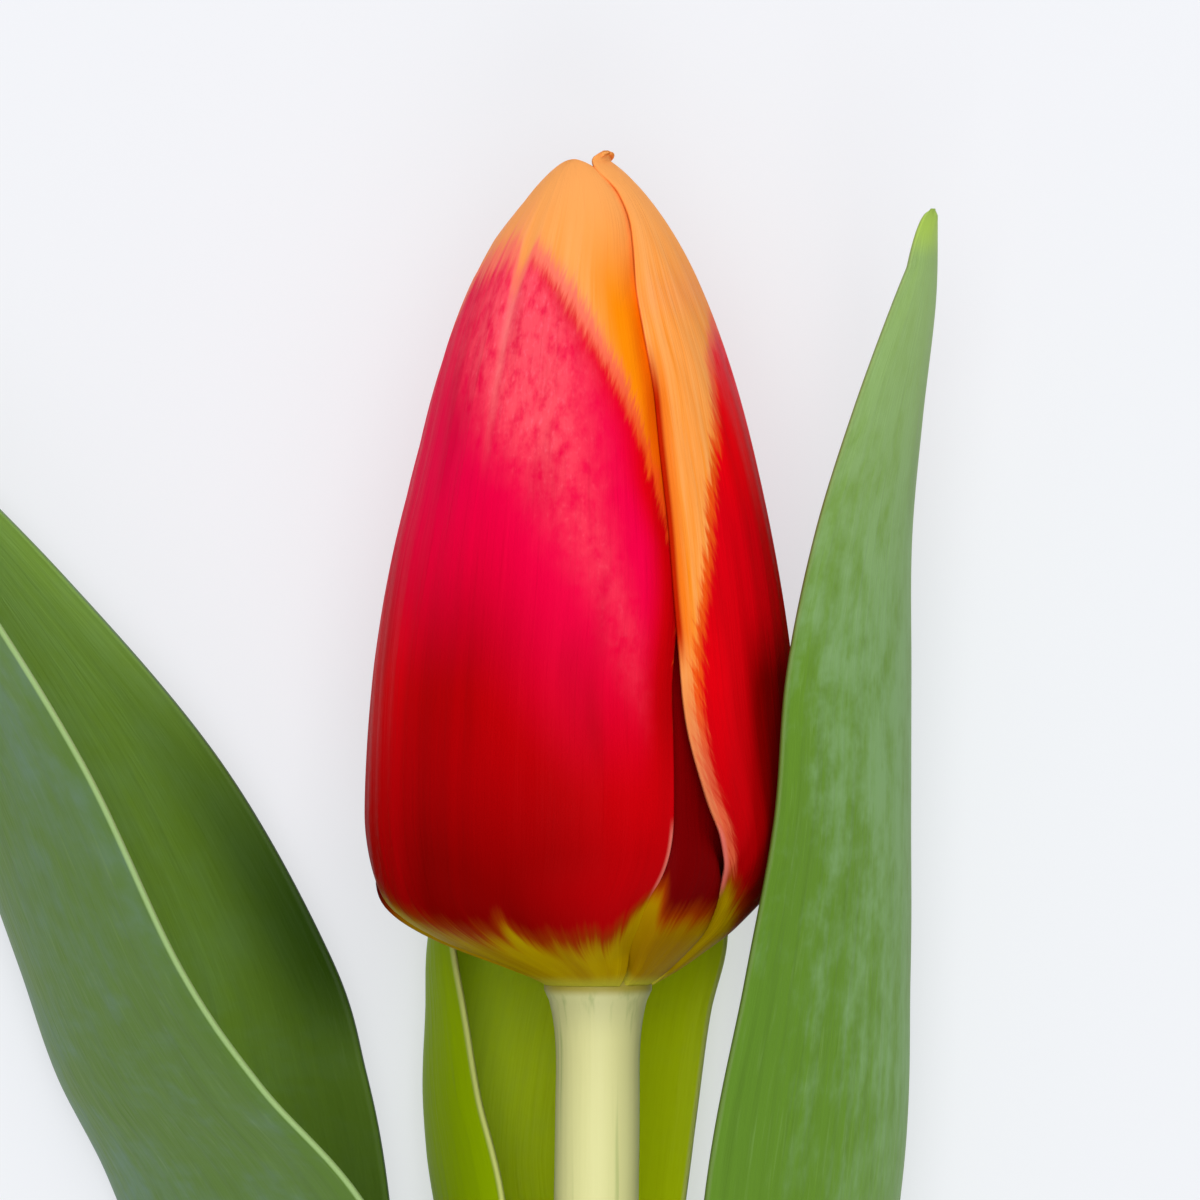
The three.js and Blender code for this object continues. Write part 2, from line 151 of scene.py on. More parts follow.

# Each section of a leaf lies across the flower at y: y, then x and z of its near margin, its keel and
# its far margin. joint, keel_angle: where it clasps the stem, and where round the stem its keel lies there.
# turn: 1 or -1, the side of the blade that is the near one. open_by: how far up it has left the stem.
# rims: how clear the lines along its far and its near margin are. blunt: how much of its tip is rounded.
# shade, near_shade, crease: how much painted shade, in its shadow colour, lies at the far margin, on the
# near side and along the keel. wax_rise: how much wax it gains, and painted shade it loses, upwards. faces:
# for its back and its face, the names of its green, wax and edge in the settings, how much the wax covers
# and how mottled it is.
LEAVES = (
    SimpleNamespace(
        name="leaf_left", joint=-190, keel_angle=255, turn=1, open_by=0.3,
        shade=0.95, near_shade=0, rims=(0, 0.75), light_tip=0.4,
        shadow=(34, 60, 0), wax_rise=0, crease=0, blunt=0.02,
        faces=((("green_old", "wax_old", "edge"), 0.95, 0.45), (("shade", "wax", "edge"), 0.35, 0.6)),
        sections=(
            (-190, 0, 13, -8, 5, -1, 1), (-158, -4, 18, -10.5, 4.2, -4.5, 0),
            (-120, -8, 22.5, -15, 4.5, -7, 1.2), (-80, -7.2, 25, -19, 4, -9.5, 2),
            (-50, -7.6, 27, -26, 3, -12.5, 3.2), (-28, -10.2, 27.5, -32.6, 2, -14.2, 4.2),
            (-16, -17, 27, -36.9, 1.6, -15.3, 5), (-7.5, -24.6, 26, -40.9, 1.6, -16.9, 5.4),
            (1.7, -30.9, 25, -43.8, 1.8, -19.7, 5.6), (17, -38.3, 23, -49.3, 2.4, -28.3, 5.4),
            (32, -47.8, 18, -55, 3, -41, 4.4), (47, -58.4, 10, -61.6, 3, -56, 3.4),
            (60, -69, 5, -69, 5, -69, 5),
        ),
    ),
    SimpleNamespace(
        name="leaf_right", joint=-128, keel_angle=100, turn=-1, open_by=0.3,
        shade=0, near_shade=0, rims=(0.3, 0.45), light_tip=0.8,
        shadow=(60, 100, 10), wax_rise=0.3, crease=0.4, blunt=0.06,
        faces=((("green", "wax", "worn"), 0.95, 0.7), (("shade", "wax", "worn"), 0.4, 1)),
        sections=(
            (-128, 1, 18, 4.5, 10, 1, 4.5), (-102, 3, 20.5, 8.5, 9.5, 3.5, 2),
            (-72, 5.6, 24, 14.5, 9.5, 8, 0.2), (-42, 7.6, 26, 20.5, 10.5, 12, -0.8),
            (-16, 9.7, 27, 24.7, 12, 15, -1.2), (0.7, 12.8, 27.6, 25.4, 12.8, 17, -0.8),
            (12.8, 15, 28.5, 25.45, 13.6, 18.2, 0), (24, 15.95, 28.4, 25.45, 14.6, 18.9, 1.6),
            (34.6, 18.1, 27.2, 25.5, 15.6, 19.8, 4.4), (44, 21, 25.8, 26.3, 16.8, 21.8, 8.6),
            (53.2, 24.4, 23.5, 27.3, 18.2, 24.8, 13.6), (60.3, 27.4, 20, 27.4, 20, 27.4, 20),
        ),
    ),
    SimpleNamespace(
        name="leaf_back", joint=-74, keel_angle=195, turn=1, open_by=0.4,
        shade=0, near_shade=0.5, rims=(0.8, 1), light_tip=0,
        shadow=(80, 134, 0), wax_rise=0, crease=0, blunt=0.02,
        faces=((("young", "wax", "edge_young"), 0.05, 1),) * 2,
        sections=(
            (-74, -6.5, 16, -4, 8, 5.8, 17), (-56, -7.4, 17.6, -6.4, 6.3, 7, 14),
            (-40, -7.2, 17, -8.6, 4.6, 7, 11), (-27, -6.3, 15.5, -9.7, 3, 7.8, 7.6),
            (-16.5, -6.2, 13, -10.4, 2, 8.5, 5), (-9, -7.9, 10.8, -10.4, 1.4, 9.4, 4),
            (-2.6, -9, 9, -9.6, 0.9, 10.3, 3.6), (3, -10, 7, -8.6, 0.4, 11.6, 3.2),
            (10, -10.8, 4, -6, -0.2, 11.4, 2.6), (20, -9.4, 2, -3, -0.6, 9, 1.6),
            (31, -5.2, 1, -1, -0.2, 5.4, 0.8), (42, 0.5, 0.8, 0.5, 0.8, 0.5, 0.8),
        ),
    ),
)


def flower_shift():
    """From the flower's own layout to the frame, in millimetres."""
    pistil_low, pistil_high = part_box("pistil")
    stem_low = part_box("stem")[0]
    x = (pistil_low.x + pistil_high.x) / 2 / MM - STEM_OFFSET
    y = stem_low.y / MM + STEM_LENGTH
    return np.array((x, y, 0))


SHIFT = flower_shift()


def placed(points):
    """Layout points in millimetres as frame points in metres."""
    return (np.asarray(points, float) + SHIFT) * MM


def linear(red, green, blue):
    """A display colour from 0 to 255 as linear light."""
    shares = (channel / 255 for channel in (red, green, blue))
    return tuple(s / 12.92 if s <= 0.04045 else ((s + 0.055) / 1.055) ** 2.4 for s in shares)


def smoothstep(value, low, high):
    """0 at low and 1 at high, smoothly. It falls where high is the lower one."""
    share = np.clip((value - low) / (high - low), 0, 1)
    return share * share * (3 - 2 * share)


def swell(value, centre, width):
    """1 at the centre, falling off softly on both sides."""
    return np.exp(-(((value - centre) / width) ** 2))


def size_property(name, description, size, least, most):
    """A size, given in millimetres."""
    return FloatProperty(
        name=name, description=description, default=size * MM, min=least * MM, max=most * MM, unit="LENGTH"
    )


def colour_property(name, description, *channels):
    return FloatVectorProperty(
        name=name, description=description, default=linear(*channels), subtype="COLOR", size=3, min=0, max=1
    )


class BloomSettings(bpy.types.PropertyGroup):
    """Sizes and colours of the bud."""

    thickness: size_property(
        "Tepal thickness", "Thickness of a tepal away from its edges", BLADE_THICKNESS, 0.3, 1
    )
    rib_depth: size_property("Rib depth", "Depth of the fine ribs along a tepal", 0.05, 0, 0.3)
    flame: colour_property("Flame", "Red of the middle of a tepal", 226, 0, 14)
    flame_deep: colour_property("Deep flame", "Red towards the claw", 138, 0, 0)
    flame_wash: colour_property("Flame wash", "Magenta over the red", 240, 0, 68)
    # The pale pink of the painted sheen, a highlight painted high on the bud
    painted_sheen_colour: colour_property("Bright flame", "Pale bloom high on the bud", 255, 80, 98)
    flame_shade: colour_property("Inner flame", "Red of the inner tepals", 92, 0, 2)
    margin: colour_property("Margin", "Orange of the margins", 255, 140, 6)
    margin_pale: colour_property("Pale margin", "Peach of the tips", 255, 170, 92)
    claw: colour_property("Claw", "Olive gold of the claws", 194, 162, 0)
    claw_green: colour_property("Green claw", "Green of the foot of a claw", 196, 188, 56)


class FoliageSettings(bpy.types.PropertyGroup):
    """Sizes and colours of the leaves and the stem."""

    thickness: size_property(
        "Leaf thickness", "Thickness of a leaf away from its edges", BLADE_THICKNESS, 0.3, 1
    )
    vein_depth: size_property("Vein depth", "Depth of the fine veins along a leaf", 0.04, 0, 0.3)
    green: colour_property("Leaf", "Green under the wax", 100, 142, 38)
    green_old: colour_property("Lower leaf", "Green under the wax of the lowest leaf", 92, 126, 46)
    shade: colour_property("Inner leaf", "Green of the upper face", 118, 154, 52)
    wax: colour_property("Wax", "Grey green of the wax on a leaf", 128, 166, 104)
    wax_old: colour_property("Lower wax", "Wax on the lowest leaf", 108, 138, 120)
    # A yellow green, partly its own and partly painted light, as if light shone through the leaf
    young: colour_property("Young leaf", "Yellow green of the highest leaf", 200, 222, 0)
    tip: colour_property("Leaf tip", "Lighter green of a tip", 158, 190, 112)
    edge: colour_property("Leaf edge", "Pale line along a margin", 172, 204, 132)
    edge_young: colour_property("Young edge", "Line along a young margin", 204, 212, 120)
    worn: colour_property("Worn edge", "Brownish line along an older margin", 112, 132, 68)
    stem: colour_property("Stem", "Pale green below the bud", 227, 225, 157)
    stem_low: colour_property("Low stem", "Green near the cut", 158, 178, 98)


# Materials


def new_material(name, **values):
    """A material with its shader's plain values set."""
    material = bpy.data.materials.new(name)
    material.use_nodes = True
    shader = material.node_tree.nodes["Principled BSDF"]
    for key, value in values.items():
        shader.inputs[key.replace("_", " ").title().replace("Ior", "IOR")].default_value = value
    return material


class Shading:
    """Builds one material and its nodes."""

    def __init__(self, name, **values):
        self.material = new_material(name, **values)
        self.tree = self.material.node_tree

    def node(self, kind, inputs=(), **settings):
        made = self.tree.nodes.new(kind)
        for key, value in settings.items():
            setattr(made, key, value)
        for socket, value in dict(inputs).items():
            self.feed(made.inputs[socket], value)
        return made

    def feed(self, socket, value):
        """Links a value that a node makes, or sets a plain one."""
        if isinstance(value, bpy.types.NodeSocket):
            self.tree.links.new(value, socket)
        else:
            socket.default_value = value

    def attribute(self, name, output="Fac"):
        return self.node("ShaderNodeAttribute", attribute_name=name).outputs[output]

    def math(self, operation, first, second, clamp=False):
        inputs = {0: first, 1: second}
        return self.node("ShaderNodeMath", inputs, operation=operation, use_clamp=clamp).outputs[0]

    def product(self, first, *others):
        for other in others:
            first = self.math("MULTIPLY", first, other)
        return first

    def total(self, first, *others):
        for other in others:
            first = self.math("ADD", first, other)
        return first

    def share(self, value, low, high):
        """0 at low and 1 at high, smoothly."""
        inputs = {"Value": value, "From Min": low, "From Max": high}
        made = self.node("ShaderNodeMapRange", inputs, interpolation_type="SMOOTHSTEP")
        return made.outputs["Result"]

    def noise(self, vector, scale, detail, roughness):
        """Noise about 0, from about -0.5 to 0.5."""
        inputs = {0: vector, 1: scale}
        place = self.node("ShaderNodeVectorMath", inputs, operation="MULTIPLY").outputs[0]
        inputs = {"Vector": place, "Scale": 1, "Detail": detail, "Roughness": roughness}
        return self.math("SUBTRACT", self.node("ShaderNodeTexNoise", inputs).outputs["Fac"], 0.5)

    def mixed(self, share, first, second):
        paints = [p if isinstance(p, bpy.types.NodeSocket) else (*p, 1) for p in (first, second)]
        inputs = {0: share, 6: paints[0], 7: paints[1]}
        return self.node("ShaderNodeMix", inputs, data_type="RGBA").outputs[2]

    def layered(self, colour, *layers):
        """Lays paints over a colour. What comes after a paint multiplies to the share that it covers."""
        for paint, *shares in layers:
            colour = self.mixed(self.product(*shares), colour, paint)
        return colour

    def finish(self, colour, roughness, relief, distance):
        """The finished material, whose relief bumps the surface by up to a distance."""
        inputs = {"Strength": 1, "Distance": distance, "Height": relief}
        normal = self.node("ShaderNodeBump", inputs).outputs["Normal"]
        shader = self.tree.nodes["Principled BSDF"]
        for name, value in (("Base Color", colour), ("Roughness", roughness), ("Normal", normal)):
            self.feed(shader.inputs[name], value)
        return self.material


class TepalShading(Shading):
    """Also holds what the colours of a tepal are mixed by: its attributes and its noises."""

    def __init__(self, name):
        super().__init__(name, specular_ior_level=0.012)
        self.grain = self.attribute("grain", "Vector")
        self.height = self.attribute("height")
        self.midrib = self.attribute("midrib")
        self.margin = self.attribute("margin")
        self.tucked = self.attribute("tucked")
        self.streak = self.noise(self.grain, (0.9, 0.035, 1), 4, 0.62)
        self.fine = self.noise(self.grain, (3.2, 0.08, 1), 3, 0.6)
        self.cloud = self.noise(self.grain, (0.22, 0.05, 1), 2, 0.5)
        self.fleck = self.noise(self.grain, (2.3, 1.4, 1), 3, 0.65)
        notch = self.product(self.share(self.midrib, 1, 0.1), -2.6)
        self.flame_end = self.total(self.attribute("flame_end"), self.product(self.streak, 6.5), notch)
        # The edge of the flame is softer high on the bud
        self.softness = self.product(self.risen(40, 56), 0.9)

    def risen(self, low, high):
        return self.share(self.height, low, high)

    def beside(self, far, near):
        """Closer to the margin, in millimetres."""
        return self.share(self.margin, far, near)


def flame_share(made):
    """1 in the flame and 0 past its feathered edge."""
    barbs = made.noise(made.attribute("feather", "Vector"), (2.2, 0.16, 1), 3, 0.6)
    side = made.attribute("flame_side")
    side = made.total(side, made.product(barbs, 1.9), made.product(made.fine, 1.2))
    edge_low = made.math("SUBTRACT", -1, made.softness)
    edge_high = made.total(1.2, made.softness)
    return made.product(made.share(made.flame_end, -3.8, 2.4), made.share(side, edge_low, edge_high))


def flame_red(made, settings, whorl):
    """Red with a painted sheen and pale painted glints, darker clouds, dark veins and a pale midrib."""
    red = made.layered(
        settings.flame,
        # painted light: a brighter red
        (linear(255, 0, 6), made.attribute("glow")),
        # deeper red towards the claw, partly painted shade, and painted shade and light in places
        (settings.flame_deep, made.attribute("low")),
        (settings.flame_wash, made.attribute("wash")),
    )
    if whorl == "inner":
        red = made.mixed(0.75, red, settings.flame_shade)
    # The painted sheen, broken into blotches
    blotch = made.noise(made.grain, (0.8, 0.55, 1), 3, 0.6)
    bloom = made.product(made.share(blotch, -0.32, 0.2), 1.35)
    bloom = made.math("MULTIPLY", made.attribute("bloom"), bloom, clamp=True)
    return made.layered(
        red,
        (settings.painted_sheen_colour, bloom),
        (settings.flame_deep, made.share(made.cloud, 0, 0.3), 0.35),
        # pale painted glints, only within the painted sheen
        (linear(255, 120, 140), made.share(made.fleck, 0, 0.28), bloom, 0.4),
        (settings.flame_deep, made.share(made.fine, 0.02, 0.3), 0.15),
        (linear(255, 150, 140), made.share(made.midrib, 0.7, 0), made.risen(38, 56), 0.5),
    )


def margin_orange(made, settings):
    """Orange that pales towards the tip and deepens low down, with painted shade along the seams."""
    lapping = made.share(made.tucked, 1, 0)
    # Where the lapping margin takes painted shade along its seam
    lapping_seam_shade = made.product(made.risen(24, 28), lapping, made.risen(51, 45))
    return made.layered(
        settings.margin,
        (settings.margin_pale, made.share(made.streak, -0.28, 0.14)),
        (settings.margin, made.beside(5.6, 2.8), made.risen(64, 54), made.tucked),
        (settings.margin_pale, made.risen(52, 63)),
        (linear(224, 124, 80), made.risen(30, 14)),
        (linear(252, 144, 116), made.share(made.flame_end, -7, -1), made.risen(51, 55), lapping, 0.3),
        # painted shade along the seam on the tucked side
        (linear(226, 70, 0), made.beside(2.6, 1.2), made.risen(62, 44), made.tucked, 0.7),
        # painted shade along the seam on the lapping side, darkest at its edge
        (linear(246, 112, 10), lapping_seam_shade, made.beside(1.6, 0.5), 0.8),
        (linear(190, 30, 0), lapping_seam_shade, made.beside(0.6, 0.15)),
    )


def claw_olive(made, settings, whorl):
    olive = made.mixed(made.share(made.cloud, -0.2, 0.3), settings.claw, linear(166, 124, 0))
    if whorl == "inner":
        olive = made.mixed(0.35, olive, linear(150, 94, 0))
    return made.mixed(made.risen(1, 0), olive, settings.claw_green)


def tepal_material(name, settings, whorl, inside):
    """Red flame, orange margin and olive claw, each drawn out along the ribs."""
    made = TepalShading(name)
    redness = flame_share(made)
    blush = made.layered(
        linear(238, 84, 20),
        (linear(255, 122, 100), made.softness, 1.1),
        (linear(222, 92, 58), made.risen(24, 16)),
    )
    # Painted shadow: a dark red line along each right margin, where it runs under its neighbour
    seam = (made.beside(0.9, 0.2), made.tucked, made.risen(26, 32), made.risen(48, 42), 0.8)
    raggedness = 3.2 if whorl == "outer" else 1.8
    claw = made.total(made.attribute("claw_height"), made.product(made.streak, raggedness), made.fine)
    colour = made.layered(
        margin_orange(made, settings),
        (blush, made.share(redness, 0, 0.5)),
        (flame_red(made, settings, whorl), made.share(redness, 0.5, 1)),
        (linear(168, 10, 0), *seam),
        (linear(160, 58, 0), made.share(claw, 2.2, 0)),
        (claw_olive(made, settings, whorl), made.share(claw, 0.9, -1)),
    )
    if inside:
        colour = made.mixed(0.35, colour, settings.margin)
    if whorl == "outer":
        # A painted glint: a pale pink line along the margins of the outer tepals, low on the bud
        painted_glint = (made.risen(13.5, 11.5), made.risen(6, 8), made.beside(0.5, 0.1))
        colour = made.layered(colour, (linear(228, 112, 98), *painted_glint))
    roughness = made.total(made.product(made.fleck, 0.25), 0.42)
    relief = made.total(made.product(made.fine, 0.4), made.product(made.streak, 0.8))
    return made.finish(colour, roughness, relief, settings.rib_depth * 2)


def leaf_material(name, settings, shadow, paints, wax_share, mottle):
    """Green with parallel veins, a broken coat of wax and a pale edge."""
    ground, coating, edge = (getattr(settings, paint) for paint in paints)
    made = Shading(name, specular_ior_level=0.05 + 0.15 * wax_share)
    grain = made.attribute("grain", "Vector")
    tip = made.attribute("tip")
    vein = made.noise(grain, (1.5, 0.03, 1), 3, 0.6)
    fine = made.noise(grain, (3.4, 0.12, 1), 2, 0.6)
    patch = made.product(made.noise(grain, (0.3, 0.06, 1), 3, 0.6), 1.6)
    fleck = made.product(made.noise(grain, (0.5, 0.2, 1), 3, 0.65), 2 * mottle)

    coat = made.total(made.attribute("wax"), patch, made.product(vein, 0.8 * mottle), fleck)
    coat = made.product(made.share(coat, 0.37 * mottle - 0.22, 1.22 - 0.37 * mottle), wax_share)
    dark = [0.62 * channel for channel in ground]
    colour = made.layered(
        ground,
        (dark, made.share(vein, -0.1, 0.3), 0.2 + 0.5 * mottle * wax_share),
        (coating, coat),
        (settings.edge, made.share(fine, 0.05, 0.35), 0.25 * mottle * wax_share),
        # painted shade, in the leaf's shadow colour
        (linear(*shadow), made.attribute("shade")),
        (edge, made.share(made.attribute("margin"), 0.24, 0.05), made.attribute("rim")),
        (settings.tip, tip),
        (linear(172, 204, 84), made.share(tip, 0.76, 0.8)),
        (settings.stem, made.share(made.attribute("height"), 16, 0)),
    )
    roughness = made.total(made.product(coat, 0.14), 0.42)
    relief = made.total(made.product(vein, 0.8), made.product(fine, 0.5))
    return made.finish(colour, roughness, relief, settings.vein_depth * 2)


def stem_material(settings):
    made = Shading("stem_skin", specular_ior_level=0.35, sheen_weight=0.04)
    place = made.node("ShaderNodeTexCoord").outputs["Object"]
    along = made.node("ShaderNodeSeparateXYZ", {0: place}).outputs["Y"]
    streak = made.noise(place, (900, 22, 900), 3, 0.6)
    patch = made.noise(place, (160, 30, 160), 2, 0.5)

    def below(start, end):
        """0 at start and 1 at end, in millimetres below the bud."""
        return made.share(along, (SHIFT[1] - start) * MM, (SHIFT[1] - end) * MM)

    colour = made.layered(
        settings.stem,
        (settings.stem_low, below(20, 130)),
        (settings.stem_low, made.share(streak, 0, 0.3)),
        (linear(232, 228, 178), made.share(patch, 0.1, 0.4)),
        (linear(190, 190, 138), below(4.5, 1), 0.4),
        (linear(172, 158, 60), below(0.9, 0.1)),
    )
    return made.finish(colour, made.total(made.product(patch, 0.2), 0.45), streak, 0.06 * MM)


def cut_material():
    """The fresh cut: pale flesh with scattered bundles."""
    made = Shading("stem_cut", specular_ior_level=0.4)
    place = made.node("ShaderNodeTexCoord").outputs["Object"]
    cells = made.node("ShaderNodeTexVoronoi", {"Vector": place, "Scale": 1300})
    dots = made.share(cells.outputs["Distance"], 0.34, 0.2)
    mottle = made.noise(place, (600, 600, 600), 3, 0.6)
    colour = made.mixed(dots, linear(206, 212, 158), linear(128, 150, 74))
    colour = made.mixed(made.share(mottle, 0, 0.4), colour, linear(226, 226, 186))
    return made.finish(colour, 0.45, cells.outputs["Distance"], 0.1 * MM)


def heart_material(name, pale, deep, roughness):
    """Mottled flesh for the pistil and the stamens."""
    made = Shading(name, specular_ior_level=0.35)
    place = made.node("ShaderNodeTexCoord").outputs["Object"]
    mottle = made.noise(place, (700, 250, 700), 3, 0.6)
    grains = made.noise(place, (2600, 2600, 2600), 2, 0.6)
    colour = made.mixed(made.share(mottle, -0.2, 0.25), pale, deep)
    return made.finish(colour, made.total(made.product(grains, 0.2), roughness), grains, 0.08 * MM)


# Making pieces

THINNED = 1.3  # how far in from its margin a blade is thinner
THINNING_STEPS = 16


def deselect():
    bpy.ops.object.select_all(action="DESELECT")


def name_piece(piece, name):
    piece.name = piece.data.name = name


def paint(piece, *materials):
    for material in materials:
        piece.data.materials.append(material)


def hand_over(piece, node):
    """The piece stands for its node in the frame."""
    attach(piece, "root")
    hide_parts(node)


def crowded(share):
    """Moves grid lines from -1 to 1 closer together towards both margins."""
    evenness = 0.4
    return evenness * share + (1 - evenness) * np.sin(math.pi / 2 * share)


def spread(share):
    """Moves rows from 0 to 1 closer together towards both ends."""
    evenness = 0.45
    return evenness * share + (1 - evenness) * (1 - np.cos(math.pi * share)) / 2


def spread_to_end(tip, share):
    """Moves rows closer together, also where the end of a blade rounds, from tip on."""
    body = 0.88  # the share of the rows below the tip
    turn = math.radians(81) * np.clip((share - body) / (1 - body), 0, 1)
    return tip * spread(np.minimum(share / body, 1)) + (1 - tip) * np.sin(turn) ** (2 / END_POWER)


def set_attribute(mesh, name, values):
    kind = "FLOAT_VECTOR" if values.ndim == 2 else "FLOAT"
    made = mesh.attributes.new(name, kind, "POINT")
    key = "vector" if values.ndim == 2 else "value"
    made.data.foreach_set(key, np.ascontiguousarray(values, np.float32).ravel())


def make_blade(name, size, rows, surface, describe, thickness, offset, edge_share, materials):
    """Lays a grid on surface(u, v), with its attributes from describe, and gives it its thickness.

    rows: spaces its rows. materials: that of the outer face, and that of the inner one.
    """
    deselect()
    bpy.ops.mesh.primitive_grid_add(x_subdivisions=size[0], y_subdivisions=size[1], size=2)
    piece = bpy.context.object
    name_piece(piece, name)
    paint(piece, *materials)
    mesh = piece.data
    flat = np.empty(len(mesh.vertices) * 3)
    mesh.vertices.foreach_get("co", flat)
    flat = flat.reshape(-1, 3)
    u = crowded(flat[:, 0])
    v = rows((flat[:, 1] + 1) / 2)
    tags = describe(u, v)
    for key, values in tags.items():
        set_attribute(mesh, key, values)
    mesh.vertices.foreach_set("co", placed(surface(u, v)).ravel())
    thinning = piece.vertex_groups.new(name="thickness")
    weights = np.round(smoothstep(tags["margin"], 0, THINNED) * THINNING_STEPS) / THINNING_STEPS
    for weight in np.unique(weights):
        thinning.add(np.flatnonzero(weights == weight).tolist(), float(weight), "REPLACE")
    bpy.ops.object.mode_set(mode="EDIT")
    bpy.ops.mesh.select_all(action="SELECT")
    bpy.ops.mesh.remove_doubles(threshold=1e-6)
    bpy.ops.object.mode_set(mode="OBJECT")
    wall = piece.modifiers.new("Wall", "SOLIDIFY")
    wall.thickness = thickness
    wall.offset = offset
    wall.use_even_offset = False
    wall.vertex_group = "thickness"
    wall.thickness_vertex_group = edge_share
    wall.material_offset = 1
    bpy.ops.object.modifier_apply(modifier=wall.name)
    bpy.ops.object.shade_smooth()
    piece.vertex_groups.clear()
    return piece


def make_turned(name, rings, sides):
    """Extrudes a closed body from ring to ring. A ring is its centre in the layout and its radius."""
    deselect()
    start, radius = rings[0]
    bpy.ops.mesh.primitive_circle_add(
        vertices=sides, radius=radius * MM, fill_type="NGON",
        location=placed(start), rotation=(math.pi / 2, 0, 0),
    )
    piece = bpy.context.object
    name_piece(piece, name)
    bpy.ops.object.transform_apply()
    bpy.ops.object.mode_set(mode="EDIT")
    bpy.ops.mesh.select_all(action="SELECT")
    before, size = placed(start), radius
    for centre, radius in rings[1:]:
        centre = placed(centre)
        bpy.ops.mesh.extrude_region_move(TRANSFORM_OT_translate={"value": tuple(centre - before)})
        share = radius / size
        bpy.ops.transform.resize(value=(share, share, share), center_override=tuple(centre))
        before, size = centre, radius
    bpy.ops.mesh.select_all(action="SELECT")
    bpy.ops.mesh.normals_make_consistent(inside=False)
    bpy.ops.object.mode_set(mode="OBJECT")
    return piece


# The stem


SWAY = 3.5  # of the middle of the stem, to the left
SWELLING = 0.3  # of the stem at the joint of each leaf
SWELLING_LENGTH = 4


def stem_axis(y):
    p = np.clip(1 + np.asarray(y, float) / STEM_LENGTH, 0, 1)
    x = STEM_OFFSET - SWAY * np.sin(math.pi * p) ** 2
    z = STEM_RADIUS_CUT + (BUD_AXIS_HEIGHT - STEM_RADIUS_CUT) * p * p * (3 - 2 * p)
    return np.stack((x, y, z), axis=-1)


def stem_radius(y):
    y = np.asarray(y, float)
    p = np.clip(1 + y / STEM_LENGTH, 0, 1)
    radius = STEM_RADIUS_CUT + (STEM_RADIUS_TOP - STEM_RADIUS_CUT) * p
    for leaf in LEAVES:
        radius = radius + SWELLING * swell(y, leaf.joint, SWELLING_LENGTH)
    return radius


class TULIP_OT_stem(bpy.types.Operator):
    """Make the stem, its flared top and the receptacle inside the bud"""

    bl_idname = "tulip.stem"
    bl_label = "Stem"

    def execute(self, context):
        settings = context.scene.tulip_foliage
        flare_length = 7
        flare_steps = 14
        cut_round = 0.25
        ring_step = 2
        rings = [(-STEM_LENGTH, stem_radius(-STEM_LENGTH) - cut_round)]
        heights = np.arange(-STEM_LENGTH + cut_round, -flare_length, ring_step)
        rings += [(y, float(stem_radius(y))) for y in heights]
        for i in range(flare_steps):
            p = 0.9 * i / flare_steps
            radius = STEM_RADIUS_TOP + (FLARE_RADIUS - STEM_RADIUS_TOP) * p**2.8
            rings.append((-flare_length * (1 - p), radius))
        rings += [
            (-GAP, FLARE_RADIUS),
            (RECEPTACLE_TOP - 0.5, FLARE_RADIUS),
            (RECEPTACLE_TOP, FLARE_RADIUS - 0.4),
        ]
        piece = make_turned("stem_piece", [(stem_axis(y), r) for y, r in rings], sides=40)
        paint(piece, stem_material(settings), cut_material())
        cut = min(piece.data.polygons, key=lambda face: face.center.y)
        cut.material_index = 1
        bpy.ops.object.shade_smooth_by_angle(angle=math.radians(40))
        hand_over(piece, "stem")
        return {"FINISHED"}


# The bud


def outline(q):
    turn = math.pi / 2 * q / BELLY_SHARE
    s = np.clip((q - BELLY_SHARE) / (1 - BELLY_SHARE), 0, 1)
    below = q < BELLY_SHARE
    radius = np.where(
        below,
        CLAW_RADIUS + (BUD_RADIUS - CLAW_RADIUS) * np.sin(turn),
        BUD_RADIUS * (1 - s**POINTEDNESS) ** FULLNESS,
    )
    steepness = BASE_LIFT * np.sin(math.pi * np.sin(np.clip(turn, 0, math.pi / 2)) ** 0.85)
    height = np.where(
        below,
        BELLY_HEIGHT * (1 - np.cos(turn)) + steepness,
        BELLY_HEIGHT + (BUD_LENGTH - BELLY_HEIGHT) * s,
    )
    return radius, height


def outline_normal(q):
    step = 1e-3
    radius_after, height_after = outline(np.minimum(q + step, 1))
    radius_before, height_before = outline(np.maximum(q - step, 0))
    across, along = radius_after - radius_before, height_after - height_before
    length = np.hypot(across, along)
    return along / length, -across / length


def is_outer(tepal):
    return tepal.name.startswith("outer")


def bud_middle(q):
    """The bud sits off the middle of the stem, and its lower right side is less full."""
    hollow = 0.8 * swell(q, 0.17, 0.06)
    return STEM_OFFSET * (1 - smoothstep(q, 0, 0.11)) - hollow


